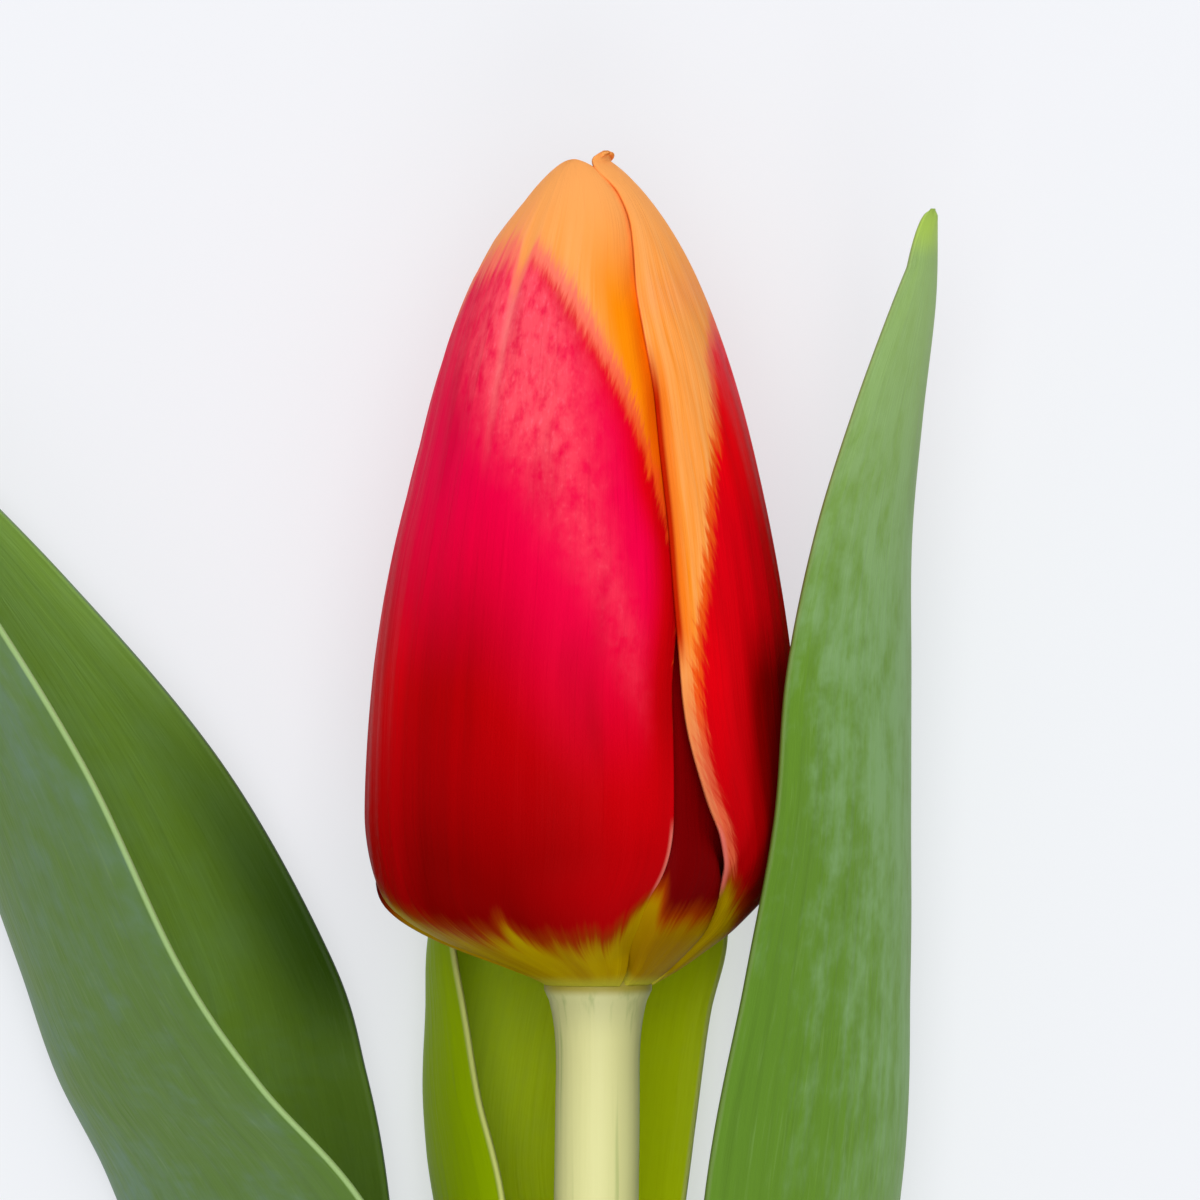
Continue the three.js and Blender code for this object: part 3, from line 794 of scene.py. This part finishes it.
def tepal_span(tepal, u, v):
    """Where a tepal lies at u and v: its place on the outline, its inset, its middle and half its angle."""
    q = v * (BELLY_SHARE + (1 - BELLY_SHARE) * tepal.reach)
    radius, height = outline(q)
    normal = outline_normal(q)
    rounding = np.clip((v - tepal.tip) / (1 - tepal.tip), 0, 1)
    if is_outer(tepal):
        radius = np.maximum(radius, tepal.blunt)
        inset, turned = 0, end_turn(tepal, u, v, height, rounding)
        lap = OVERLAP * smoothstep(height, 22, 32) * np.minimum(1, radius / 10)
        opening = (SEAM_CLEARANCE - LAPPING_CLEARANCE) * smoothstep(height, 32, 22)
        clear = np.where(u < 0, LAPPING_CLEARANCE + opening, SEAM_CLEARANCE - lap)
    else:
        inset, turned = INNER_INSET - 0.6 * smoothstep(v, 0.9, 0.97), 0
        clear = SEAM_CLEARANCE
    clear = np.degrees(clear / (radius - inset * normal[0]))
    pull = np.where(u < 0, *tepal.pull)
    draw = np.maximum(0, 1 - height / PULL_HEIGHT) ** 2 * pull
    half = ((tepal.to - tepal.start) / 2 - draw - clear) * np.sqrt(1 - rounding**END_POWER)
    middle = np.radians((tepal.start + tepal.to) / 2 + turned)
    return q, radius, height, normal, inset, middle, np.radians(half)


def end_turn(tepal, u, v, height, rounding):
    """How far an outer tepal turns round the bud: at its end, and in the bow of the seam in front."""
    turned = tepal.lean * smoothstep(v, 0.96, 0.985) + tepal.curl * rounding**4
    bow = SEAM_BOW * swell(height, BOW_HEIGHT, np.where(height < BOW_HEIGHT, 4.6, 2.6))
    bow = bow + 0.8 * swell(height, 47.5, 3)
    if tepal.to == FRONT_SEAM:
        turned = turned + bow * np.maximum(0, u)
    if tepal.start == FRONT_SEAM:
        turned = turned + bow * np.maximum(0, -u)
    return turned


def base_fill(tepal, u, half, height):
    """How far the base of an inner tepal swells out between the outer ones."""
    index = TEPALS[3:].index(tepal)
    before, after = TEPALS[index].pull[1], TEPALS[(index + 1) % 3].pull[0]
    opening = np.radians(np.maximum(0.02, 1 - height / PULL_HEIGHT) ** 2)
    centre = (after - before) / 2 * opening
    reach = (after + before) / 2 * opening
    off = (u * half - centre) / reach
    fill = 1.4 * np.exp(-((off / 1.3) ** 8)) + 0.6 * np.exp(-((off / 0.985) ** 16))
    return fill * smoothstep(height, 14, 6)


def tepal_relief(tepal, u, v, half, radius, height):
    """How far a tepal stands out from its plain form: its midrib and soft waves."""
    seed = TEPALS.index(tepal) * 2.1
    across = u * half * radius
    fade = smoothstep(v, 0.06, 0.3) * smoothstep(v, 1, 0.86)
    midrib = 0.12 * swell(across, 0, 1.9) - 0.16 * swell(across, 0, 0.5)
    ribs = 0.03 * np.sin(2.6 * across + 3 * np.sin(4 * v + seed))
    wave = 0.14 * np.sin(5.2 * u + 4.1 * v + seed) * np.sin(9.3 * v + 1.7 * u + seed)
    relief = fade * (midrib + ribs + wave * (1 - u**4))
    if not is_outer(tepal):
        relief = relief + base_fill(tepal, u, half, height)
    return relief


def tepal_surface(tepal, u, v):
    outer = is_outer(tepal)
    q, radius, height, normal, inset, middle, half = tepal_span(tepal, u, v)
    dip = np.where(u < 0, LAPPING_DIP, TUCKED_DIP) if outer else INNER_DIP
    if tepal.start == FRONT_SEAM:  # its margin curls in beside the gap at the claw
        dip = dip + np.where(u < 0, 0.6, 0) * smoothstep(height, 13, 6)
    dip = dip * np.minimum(1, radius / 8) * smoothstep(height, 0, 2)
    depth = inset + dip * u**4
    depth = depth - tepal_relief(tepal, u, v, half, radius, height)
    r = radius - depth * normal[0]
    if not outer:  # the ends of the inner tepals turn in to the axis
        r = r * (1 - 0.9 * smoothstep(v, 0.95, 0.995))
    angle = middle + u * half
    flat = np.interp(height, FLAT_HEIGHTS, FLAT_DEPTHS) * np.maximum(0, -np.sin(angle)) ** 2
    return np.stack(
        (
            bud_middle(q) + r * np.sin(angle) + flat,
            height - depth * normal[1],
            BUD_AXIS_HEIGHT + r * np.cos(angle),
        ),
        axis=-1,
    )


def claw_foot(u, outer):
    """The height that the olive of the claw reaches, across the tepal."""
    if not outer:
        return 5 + 2.2 * swell(u, -0.01, 0.035)
    climb = np.where(u < 0, 4.5 * u**2, 60 * np.maximum(0, u - 0.76) ** 2)
    return 3 + (climb + 0.6 * smoothstep(u, 0.3, 0.1) + 1.5 * swell(u, 0.19, 0.05))


def flame_depth_and_shade(tepal, u, right, height):
    """How deep the red is, 0 to 1, as its colour and as painted shade and light: deeper towards the claw.
    """
    risen, across = partial(smoothstep, height), partial(smoothstep, u)
    front = tepal.to == FRONT_SEAM
    low = risen(34, 2)
    if front:
        # Painted shade: the front tepal is darker left of its middle, low down
        lower = risen(28, 22)
        side_shade = across(0.85 - 0.25 * lower, -0.05 - 0.15 * lower) * risen(38, 28)
        side_shade = side_shade * (1 - 0.75 * across(-0.15, -0.5))
        low = low + 0.42 * side_shade * (1 - 0.6 * risen(26, 14))
    # Painted light: the lighter places in SHADES
    for amount, reach, heights in SHADES.get(tepal.name, ()):
        low = low + amount * across(*reach) * risen(*heights)
    if front:
        # Painted shade towards its right margin, which runs under the right tepal
        seam_shade = smoothstep(right, 3.4, 0.3) * risen(14, 22)
        low = low + 0.35 * seam_shade * risen(46, 42) * (u > 0)
    if tepal.start == FRONT_SEAM:
        # Painted shade low on the front of the right tepal, next to the right leaf
        flank_shade = across(-0.66, -0.5) * across(0.1, -0.3)
        low = low + 0.9 * flank_shade * risen(30, 22)
    return np.clip(low, 0, 1)


def sheen(u, height):
    """A painted sheen high on the bud, which draws out to the right lower down."""
    risen = partial(smoothstep, height)
    centre = 0.2 + 0.0245 * np.maximum(0, 48.5 - height) + 0.03 * risen(25, 30) * risen(44, 38)
    width = np.interp(height, *SHEEN_WIDTHS) * np.where(
        u > centre, 1 - 0.4 * risen(26, 30) * risen(50, 44), 1 + 0.6 * risen(44, 52)
    )
    return np.interp(height, SHEEN_HEIGHTS, SHEEN_PEAKS) * swell(u, centre, width)


def tepal_tags(tepal, u, v):
    """What the colours of a tepal follow."""
    _, radius, height, _, _, _, half = tepal_span(tepal, u, v)
    risen = partial(smoothstep, height)
    width = half * radius
    left, right = (1 + u) * width, (1 - u) * width
    bands = [np.interp(height, BAND_HEIGHTS, band) for band in tepal.bands]
    # The painted sheen and the wash fade out towards the right margin
    clear = right - np.maximum(bands[1], 0) - 1.2 * risen(44, 38)
    away = np.where(u > 0, smoothstep(clear, 0, np.interp(height, (38, 44), (2.4, 3.2))), 1)
    # Painted light: the right tepal's red is brighter high up, away from its left margin
    glow = 0.8 * risen(34, 42) * smoothstep(u, -0.75, -0.55) * (tepal.start == FRONT_SEAM)
    number = np.full_like(u, 7 * TEPALS.index(tepal))
    out, along = np.abs(u) * GRAIN_WIDTH, v * GRAIN_LENGTH
    return {
        "grain": np.stack((u * GRAIN_WIDTH, along, number), axis=-1),
        "feather": np.stack((out - 0.5 * along, along + 0.5 * out, number), axis=-1),
        "height": height,
        "midrib": np.abs(u) * width,
        "tucked": smoothstep(u, -0.2, 0.2),
        "flame_side": np.minimum(left - bands[0], right - bands[1]),
        "flame_end": tepal.end - np.where(u < 0, 2.6, 1.5) * np.abs(u) - height,
        "low": flame_depth_and_shade(tepal, u, right, height),
        "glow": glow,
        "bloom": sheen(u, height) * away,
        "wash": tepal.wash * smoothstep(height + 8 * smoothstep(u, 0, 0.6), 22, 42) * away,
        "claw_height": height - claw_foot(u, is_outer(tepal)),
        "margin": np.minimum(np.minimum(left, right), (1 - v) * GRAIN_LENGTH),
    }


def make_tepals(settings, whorl, size):
    outer = tepal_material(f"{whorl}_tepal_skin", settings, whorl, False)
    inner = tepal_material(f"{whorl}_tepal_lining", settings, whorl, True)
    for tepal in TEPALS:
        if not tepal.name.startswith(whorl):
            continue
        piece = make_blade(
            tepal.name + "_piece", size, partial(spread_to_end, tepal.tip), partial(tepal_surface, tepal),
            partial(tepal_tags, tepal), settings.thickness, offset=-1, edge_share=0.45,
            materials=(outer, inner),
        )
        hand_over(piece, tepal.name)


class TULIP_OT_outer_tepals(bpy.types.Operator):
    """Make the three outer tepals"""

    bl_idname = "tulip.outer_tepals"
    bl_label = "Outer tepals"

    def execute(self, context):
        make_tepals(context.scene.tulip_bloom, "outer", size=(120, 200))
        return {"FINISHED"}


class TULIP_OT_inner_tepals(bpy.types.Operator):
    """Make the three inner tepals"""

    bl_idname = "tulip.inner_tepals"
    bl_label = "Inner tepals"

    def execute(self, context):
        make_tepals(context.scene.tulip_bloom, "inner", size=(80, 140))
        return {"FINISHED"}


# The heart of the bud


def heart_point(x, y, z):
    return np.array((STEM_OFFSET + x, y, BUD_AXIS_HEIGHT + z))


OVARY_LENGTH = 17
# Height above its seat and radius, up the ovary, round the stigma and down into its hollow
PISTIL_PROFILE = (
    (0, 1.5), (0.4, 1.75), (2, 2.1), (4.5, 2.6), (7, 2.9), (9, 3), (11, 2.9), (13.4, 2.55), (15.4, 2.1),
    (16.4, 1.92), (OVARY_LENGTH, 1.9), (17.7, 2.4), (18.4, 3.2), (19.3, 3.75), (20, 4), (20.8, 3.85),
    (21.3, 3.4), (21.6, 2.6), (20.6, 0.9),
)


class TULIP_OT_pistil(bpy.types.Operator):
    """Make the pistil: a three-sided ovary under a three-lobed stigma"""

    bl_idname = "tulip.pistil"
    bl_label = "Pistil"

    def execute(self, context):
        rings = [(heart_point(0, SEAT + h, 0), r) for h, r in PISTIL_PROFILE]
        piece = make_turned("pistil_piece", rings, sides=48)
        axis = placed(heart_point(0, 0, 0))
        ovary_top = placed((0, SEAT + OVARY_LENGTH, 0))[1]
        for vertex in piece.data.vertices:
            x, z = vertex.co.x - axis[0], vertex.co.z - axis[2]
            above = float(smoothstep(vertex.co.y, ovary_top - MM, ovary_top + MM))
            share = 1 + (0.14 + 0.16 * above) * math.cos(3 * math.atan2(x, z))
            vertex.co.x, vertex.co.z = axis[0] + x * share, axis[2] + z * share
        ovary = heart_material("pistil_ovary", linear(196, 206, 120), linear(150, 176, 78), 0.42)
        stigma = heart_material("pistil_stigma", linear(238, 230, 168), linear(214, 200, 120), 0.7)
        paint(piece, ovary, stigma)
        for face in piece.data.polygons:
            if face.center.y > ovary_top:
                face.material_index = 1
        bpy.ops.object.shade_smooth_by_angle(angle=math.radians(50))
        hand_over(piece, "pistil")
        return {"FINISHED"}


STAMEN_STAND = 3.425  # from the middle of the bud to a stamen's foot
STAMEN_LEAN = math.radians(11)
# Height and radius up a filament
FILAMENT_PROFILE = ((0.1, 0.95), (2, 0.84), (4.5, 0.7), (7.2, 0.5), (7.6, 0.42))
ANTHER_FOOT = 7.5
ANTHER_LENGTH = 11.8
ANTHER_RADIUS = 1.35
ANTHER_SHARES = (0, 0.05, 0.12, 0.22, 0.35, 0.5, 0.65, 0.78, 0.88, 0.95, 1)


def stamen_share(height, angle):
    """Furrows an anther and flattens a filament."""
    if height > ANTHER_FOOT:
        return 1 - 0.22 * math.cos(2 * angle) - 0.1 * math.cos(4 * angle)
    return 1 - 0.19 * (1 + math.cos(2 * angle))


class TULIP_OT_stamens(bpy.types.Operator):
    """Make one stamen, copy it round the pistil and join the six on their ring"""

    bl_idname = "tulip.stamens"
    bl_label = "Stamens"

    def execute(self, context):
        ring_radius = 0.4
        filament = heart_material("stamen_filament", linear(206, 196, 110), linear(170, 170, 80), 0.5)
        anther = heart_material("stamen_anther", linear(74, 54, 78), linear(40, 26, 44), 0.75)

        deselect()
        bpy.ops.mesh.primitive_torus_add(
            major_radius=STAMEN_STAND * MM, minor_radius=ring_radius * MM,
            major_segments=48, minor_segments=10,
            location=placed(heart_point(0, SEAT + ring_radius, 0)), rotation=(math.pi / 2, 0, 0),
        )
        bpy.ops.object.transform_apply()
        ring = context.object
        name_piece(ring, "stamens_piece")
        paint(ring, filament, anther)

        profile = list(FILAMENT_PROFILE)
        for p in ANTHER_SHARES:
            radius = ANTHER_RADIUS * math.sqrt(max(0.04, 1 - (2 * p - 1) ** 4))
            profile.append((ANTHER_FOOT + ANTHER_LENGTH * p, radius))
        one = make_turned("stamen", [(np.array((0, y, 0)) - SHIFT, r) for y, r in profile], sides=20)
        for face in one.data.polygons:
            face.material_index = int(face.center.y > (ANTHER_FOOT + 0.05) * MM)
        for vertex in one.data.vertices:
            share = stamen_share(vertex.co.y / MM, math.atan2(vertex.co.x, vertex.co.z))
            vertex.co.x *= share
            vertex.co.z *= share
        bpy.ops.object.shade_smooth()
        paint(one, filament, anther)

        whorl = [one] + [one.copy() for _ in range(5)]
        for i, stamen in enumerate(whorl):
            if i:
                stamen.data = one.data.copy()
                context.collection.objects.link(stamen)
            turn = 2 * math.pi * i / len(whorl)
            deselect()
            stamen.select_set(True)
            context.view_layer.objects.active = stamen
            stamen.rotation_mode = "XYZ"  # it leans outwards first, then turns to its place
            stamen.rotation_euler = (STAMEN_LEAN, turn, 0)
            offset = (STAMEN_STAND * math.sin(turn), SEAT, STAMEN_STAND * math.cos(turn))
            stamen.location = placed(heart_point(*offset))
        deselect()
        for stamen in whorl:
            stamen.select_set(True)
        ring.select_set(True)
        context.view_layer.objects.active = ring
        bpy.ops.object.join()
        bpy.ops.object.transform_apply()
        hand_over(ring, "stamens")
        return {"FINISHED"}


# Leaves


def rail(points, t):
    """A smooth line through points, at t from 0 to 1."""
    points = np.asarray(points, float)
    run = np.vstack((2 * points[0] - points[1], points, 2 * points[-1] - points[-2]))
    at = np.clip(t, 0, 1) * (len(points) - 1)
    index = np.minimum(at.astype(int), len(points) - 2)
    w = (at - index)[:, None]
    p0, p1, p2, p3 = (run[index + k] for k in range(4))
    start, end = (p2 - p0) / 2, (p3 - p1) / 2
    second = 3 * (p2 - p1) - 2 * start - end
    third = 2 * (p1 - p2) + start + end
    return p1 + start * w + second * w**2 + third * w**3


def leaf_rails(leaf, v):
    """The near margin, the keel and the far margin at v."""
    near, keel, far = (rail([(s[k], s[0], s[k + 1]) for s in leaf.sections], v) for k in (1, 3, 5))
    blunt = np.clip((1 - v) / leaf.blunt, 1e-9, 1)[:, None] ** -0.5
    return keel + (near - keel) * blunt, keel, keel + (far - keel) * blunt


def leaf_surface(leaf, u, v):
    clasp = BLADE_THICKNESS / 2 + 2 * GAP
    floor = BLADE_THICKNESS / 2
    u = u * leaf.turn
    near, keel, far = leaf_rails(leaf, v)
    w = u[:, None]
    opened = keel + (near - far) / 2 * w + ((near + far) / 2 - keel) * w * w
    angle = np.radians(leaf.keel_angle + leaf.turn * u * LEAF_WRAP)
    radius = stem_radius(keel[:, 1]) + clasp - 0.75 * smoothstep(v, 0.02, 0)
    ring = stem_axis(keel[:, 1])
    ring = ring + np.stack((radius * np.sin(angle), 0 * u, radius * np.cos(angle)), axis=-1)
    share = smoothstep(v, 0, leaf.open_by)[:, None]
    points = ring + (opened - ring) * share
    points[:, 2] = np.maximum(points[:, 2], floor)
    return points


def leaf_tags(leaf, u, v):
    """What the colours of a leaf follow."""
    length = leaf.sections[-1][0] - leaf.sections[0][0]
    number = 40 + 9 * LEAVES.index(leaf)
    near, keel, far = leaf_rails(leaf, v)
    across = u * leaf.turn
    near_side = across > 0
    risen, over = partial(smoothstep, v), partial(smoothstep, across)
    edge = np.where(near_side[:, None], near, far)
    width = np.linalg.norm(edge - keel, axis=1)
    wax = 0.55 - 0.3 * np.abs(u) + 0.2 * np.sin(3.1 * u + 5 * v)
    wax = wax - 0.12 * near_side * smoothstep(np.abs(u), 0.5, 1) * risen(0.75, 0.6)
    wax = wax + leaf.wax_rise * (risen(0.3, 0.75) - 0.6)
    wax = wax - 0.6 * leaf.wax_rise * risen(0.58, 0.46) * over(0.2, -0.3)
    # Painted shade: at the far margin, on the near side, along the keel and low on the near side
    painted_shade = leaf.shade * smoothstep(-across, 0.7, 1) * risen(0.85, 0.68)
    painted_shade = painted_shade * (0.6 + 0.4 * risen(0.58, 0.67))
    painted_shade = painted_shade + leaf.near_shade * over(-0.85, 0.15)
    crease = smoothstep(np.abs(across - 0.1), 0.22, 0.1) * risen(0.7, 0.8)
    painted_shade = painted_shade + leaf.crease * crease * risen(0.97, 0.88)
    painted_shade = painted_shade + 0.4 * leaf.wax_rise * over(0.35, 1) * risen(0.64, 0.5)
    return {
        "shade": painted_shade,
        "rim": np.where(near_side, leaf.rims[1], leaf.rims[0]),
        "tip": leaf.light_tip * risen(0.72 - 0.4 * leaf.wax_rise, 1),
        "grain": np.stack((u * 20, v * length, np.full_like(u, number)), axis=-1),
        "height": v * length,
        "wax": wax,
        "margin": np.minimum((1 - np.abs(u)) * width, (1 - v) * length),
    }


class TULIP_OT_leaves(bpy.types.Operator):
    """Make the three leaves that clasp the stem"""

    bl_idname = "tulip.leaves"
    bl_label = "Leaves"

    def execute(self, context):
        settings = context.scene.tulip_foliage
        for leaf in LEAVES:
            materials = [
                leaf_material(f"{leaf.name}_{side}", settings, leaf.shadow, *face)
                for side, face in zip(("back", "face"), leaf.faces)
            ]
            piece = make_blade(
                leaf.name + "_piece", (72, 360), spread, partial(leaf_surface, leaf),
                partial(leaf_tags, leaf), settings.thickness, offset=0, edge_share=0.5,
                materials=materials,
            )
            for vertex in piece.data.vertices:
                vertex.co.z = max(vertex.co.z, 0)
            hand_over(piece, leaf.name)
        return {"FINISHED"}


# The stage


class TULIP_OT_stage(bpy.types.Operator):
    """Make the floor, the soft lights and the camera that looks straight down"""

    bl_idname = "tulip.stage"
    bl_label = "Stage"

    def execute(self, context):
        deselect()
        bpy.ops.mesh.primitive_plane_add(size=6, location=(0, 0, -0.0001))
        floor = context.object
        name_piece(floor, "floor")
        paper = new_material(
            "floor_paper", base_color=(*linear(158, 159, 161), 1), roughness=0.9,
            specular_ior_level=0.1, emission_color=(*linear(240, 242, 247), 1),
            emission_strength=0.62,
        )
        paint(floor, paper)

        world = bpy.data.worlds.new("studio")
        context.scene.world = world
        world.use_nodes = True
        sky = world.node_tree.nodes["Background"]
        sky.inputs["Color"].default_value = (0.97, 0.98, 1, 1)
        sky.inputs["Strength"].default_value = 0.4

        target = Vector(placed((1.5, 25, 15)))
        for name, place, size, power in (
            ("key", (0.05, 1, 0.95), 0.7, 5.5),
            ("top", (0, 0.15, 1.6), 1, 10),
            ("front", (0.1, -1, 1.2), 0.8, 4.5),
        ):
            spot = target + Vector(place)
            turn = (target - spot).to_track_quat("-Z", "Y").to_euler()
            bpy.ops.object.light_add(type="AREA", location=spot, rotation=turn)
            lamp = context.object
            lamp.name = lamp.data.name = name
            lamp.data.shape = "SQUARE"
            lamp.data.size = size
            lamp.data.energy = power
            lamp.visible_camera = False

        distance = 900
        view_width = 93.36
        sensor_width = 36
        aim = placed((1.556, 29.95, 18.15 + distance))
        bpy.ops.object.camera_add(location=aim, rotation=(0, 0, 0))
        camera = context.object
        camera.name = "camera"
        camera.data.sensor_width = sensor_width
        camera.data.lens = sensor_width * distance / view_width
        context.scene.camera = camera
        context.scene.view_settings.view_transform = "Standard"
        return {"FINISHED"}


OPERATORS = (
    TULIP_OT_stem,
    TULIP_OT_outer_tepals,
    TULIP_OT_inner_tepals,
    TULIP_OT_pistil,
    TULIP_OT_stamens,
    TULIP_OT_leaves,
    TULIP_OT_stage,
)


class TULIP_PT_panel(bpy.types.Panel):
    """Sizes, colours and pieces of the tulip"""

    bl_idname = "TULIP_PT_panel"
    bl_label = "Cut Tulip"
    bl_space_type = "VIEW_3D"
    bl_region_type = "UI"
    bl_category = "Tulip"

    def draw(self, context):
        layout = self.layout
        for settings in (context.scene.tulip_bloom, context.scene.tulip_foliage):
            column = layout.column()
            for key in settings.__annotations__:
                column.prop(settings, key)
        for operator in OPERATORS:
            layout.operator(operator.bl_idname)


CLASSES = (BloomSettings, FoliageSettings, *OPERATORS, TULIP_PT_panel)


def register():
    for cls in CLASSES:
        bpy.utils.register_class(cls)
    bpy.types.Scene.tulip_bloom = PointerProperty(type=BloomSettings)
    bpy.types.Scene.tulip_foliage = PointerProperty(type=FoliageSettings)


def unregister():
    del bpy.types.Scene.tulip_foliage
    del bpy.types.Scene.tulip_bloom
    for cls in reversed(CLASSES):
        bpy.utils.unregister_class(cls)


def main():
    register()
    bpy.ops.tulip.stem()
    bpy.ops.tulip.outer_tepals()
    bpy.ops.tulip.inner_tepals()
    bpy.ops.tulip.pistil()
    bpy.ops.tulip.stamens()
    bpy.ops.tulip.leaves()
    bpy.ops.tulip.stage()


if __name__ == "__main__":
    main()
